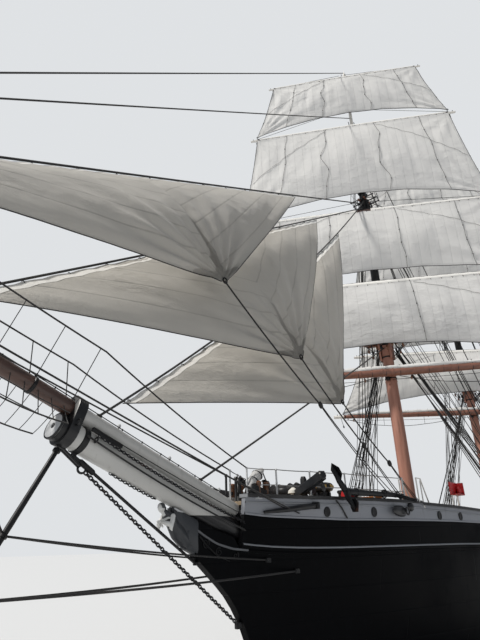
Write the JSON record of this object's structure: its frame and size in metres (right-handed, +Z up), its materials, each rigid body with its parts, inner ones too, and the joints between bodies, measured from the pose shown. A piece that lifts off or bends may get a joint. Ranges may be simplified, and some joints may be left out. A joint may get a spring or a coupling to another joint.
{
  "type": "three-masted barque tall ship, 1:10 scale model",
  "caption": "Barque-rigged tall ship at 1:10, decked hull with bowsprit, square sails set on fore and main masts, headsails and a gaff sail; yards brace, rudder and wheel turn.",
  "frame": {"origin": "on the centreline at the waterline, amidships", "axes": "+X towards the bow, +Y to port, +Z up"},
  "size_m": [8.1675, 1.9373, 4.4816],
  "materials": {
    "hull_paint": "gloss black topsides, worn dull below the waterline",
    "bulwark_paint": "semi-gloss off-white band with a dark rail",
    "deck_wood": "bare scrubbed planks",
    "house_paint": "semi-gloss off-white",
    "spar_white": "semi-gloss off-white",
    "mast_paint": "semi-gloss red-brown buff",
    "spar_wood": "varnished and painted red-brown",
    "canvas": "weathered off-white canvas",
    "rope": "tarred black rope",
    "black_iron": "black paint over iron",
    "varnished_wood": "varnished dark wood"
  },
  "bodies": {
    "root": {"hull": "hull_paint", "main_deck": "deck_wood", "forecastle_deck": "deck_wood", "poop_deck": "deck_wood", "deckhouse": "house_paint", "bulwark_port": "bulwark_paint", "bulwark_starboard": "bulwark_paint", "anchor_port": "black_iron", "anchor_starboard": "black_iron", "fore_shrouds_port": "rope", "fore_shrouds_starboard": "rope", "main_shrouds_port": "rope", "main_shrouds_starboard": "rope", "mizzen_shrouds_port": "rope", "mizzen_shrouds_starboard": "rope", "bowsprit": "spar_white", "jib_boom": "spar_wood", "dolphin_striker": "black_iron", "bobstays": "black_iron", "figurehead": "spar_white", "outer_jib_stay": "rope", "inner_jib_stay": "rope", "fore_topmast_stay": "rope", "fore_stay": "rope", "upper_head_stays": "rope", "main_stay": "rope", "mizzen_stay": "rope", "fore_lower_mast": "mast_paint", "fore_topmast": "mast_paint", "main_lower_mast": "mast_paint", "main_topmast": "mast_paint", "mizzen_lower_mast": "mast_paint", "mizzen_topmast": "mast_paint", "outer_jib": "canvas", "inner_jib": "canvas", "fore_topmast_staysail": "canvas"},
    "rudder": {"rudder": "hull_paint"},
    "wheel": {"steering_wheel": "varnished_wood"},
    "capstan": {"capstan": "black_iron"},
    "fore_yards": {"fore_royal_yard": "spar_wood", "fore_royal_sail": "canvas", "fore_topgallant_yard": "spar_wood", "fore_topgallant_sail": "canvas", "fore_upper_topsail_yard": "spar_wood", "fore_upper_topsail_sail": "canvas", "fore_lower_topsail_yard": "spar_wood", "fore_lower_topsail_sail": "canvas", "fore_course_yard": "spar_wood"},
    "main_yards": {"main_royal_yard": "spar_wood", "main_royal_sail": "canvas", "main_topgallant_yard": "spar_wood", "main_topgallant_sail": "canvas", "main_upper_topsail_yard": "spar_wood", "main_upper_topsail_sail": "canvas", "main_lower_topsail_yard": "spar_wood", "main_lower_topsail_sail": "canvas", "main_course_yard": "spar_wood"},
    "spanker_gear": {"spanker_boom": "spar_wood", "spanker_gaff": "spar_wood", "spanker": "canvas"}
  },
  "joints": [
    {"name": "rudder_turn", "type": "hinge", "parent": "root", "child": "rudder", "pos_m": [-2.995, 0, 0], "axis": [0, 0, 1], "range_deg": [-35, 35]},
    {"name": "wheel_turn", "type": "hinge", "parent": "root", "child": "wheel", "pos_m": [-3.06, 0, 0.72087], "axis": [1, 0, 0], "range_deg": [-315, 315]},
    {"name": "capstan_turn", "type": "hinge", "parent": "root", "child": "capstan", "pos_m": [2.57, 0, 0.65], "axis": [0, 0, 1], "continuous": true},
    {"name": "fore_yards_brace", "type": "hinge", "parent": "root", "child": "fore_yards", "pos_m": [1.696, 0, 0.00047], "axis": [-0.0086, 0, 1], "range_deg": [-61.9, 4.1]},
    {"name": "main_yards_brace", "type": "hinge", "parent": "root", "child": "main_yards", "pos_m": [-0.017, 0, 0.00047], "axis": [-0.0086, 0, 1], "range_deg": [-70.8, 1.2]},
    {"name": "spanker_swing", "type": "hinge", "parent": "root", "child": "spanker_gear", "pos_m": [-1.752, 0, -0.00053], "axis": [-0.0086, 0, 1], "range_deg": [-45, 45]}
  ],
  "couplings": [
    {"joint": "wheel_turn", "follows": "rudder_turn", "ratio": 9}
  ]
}
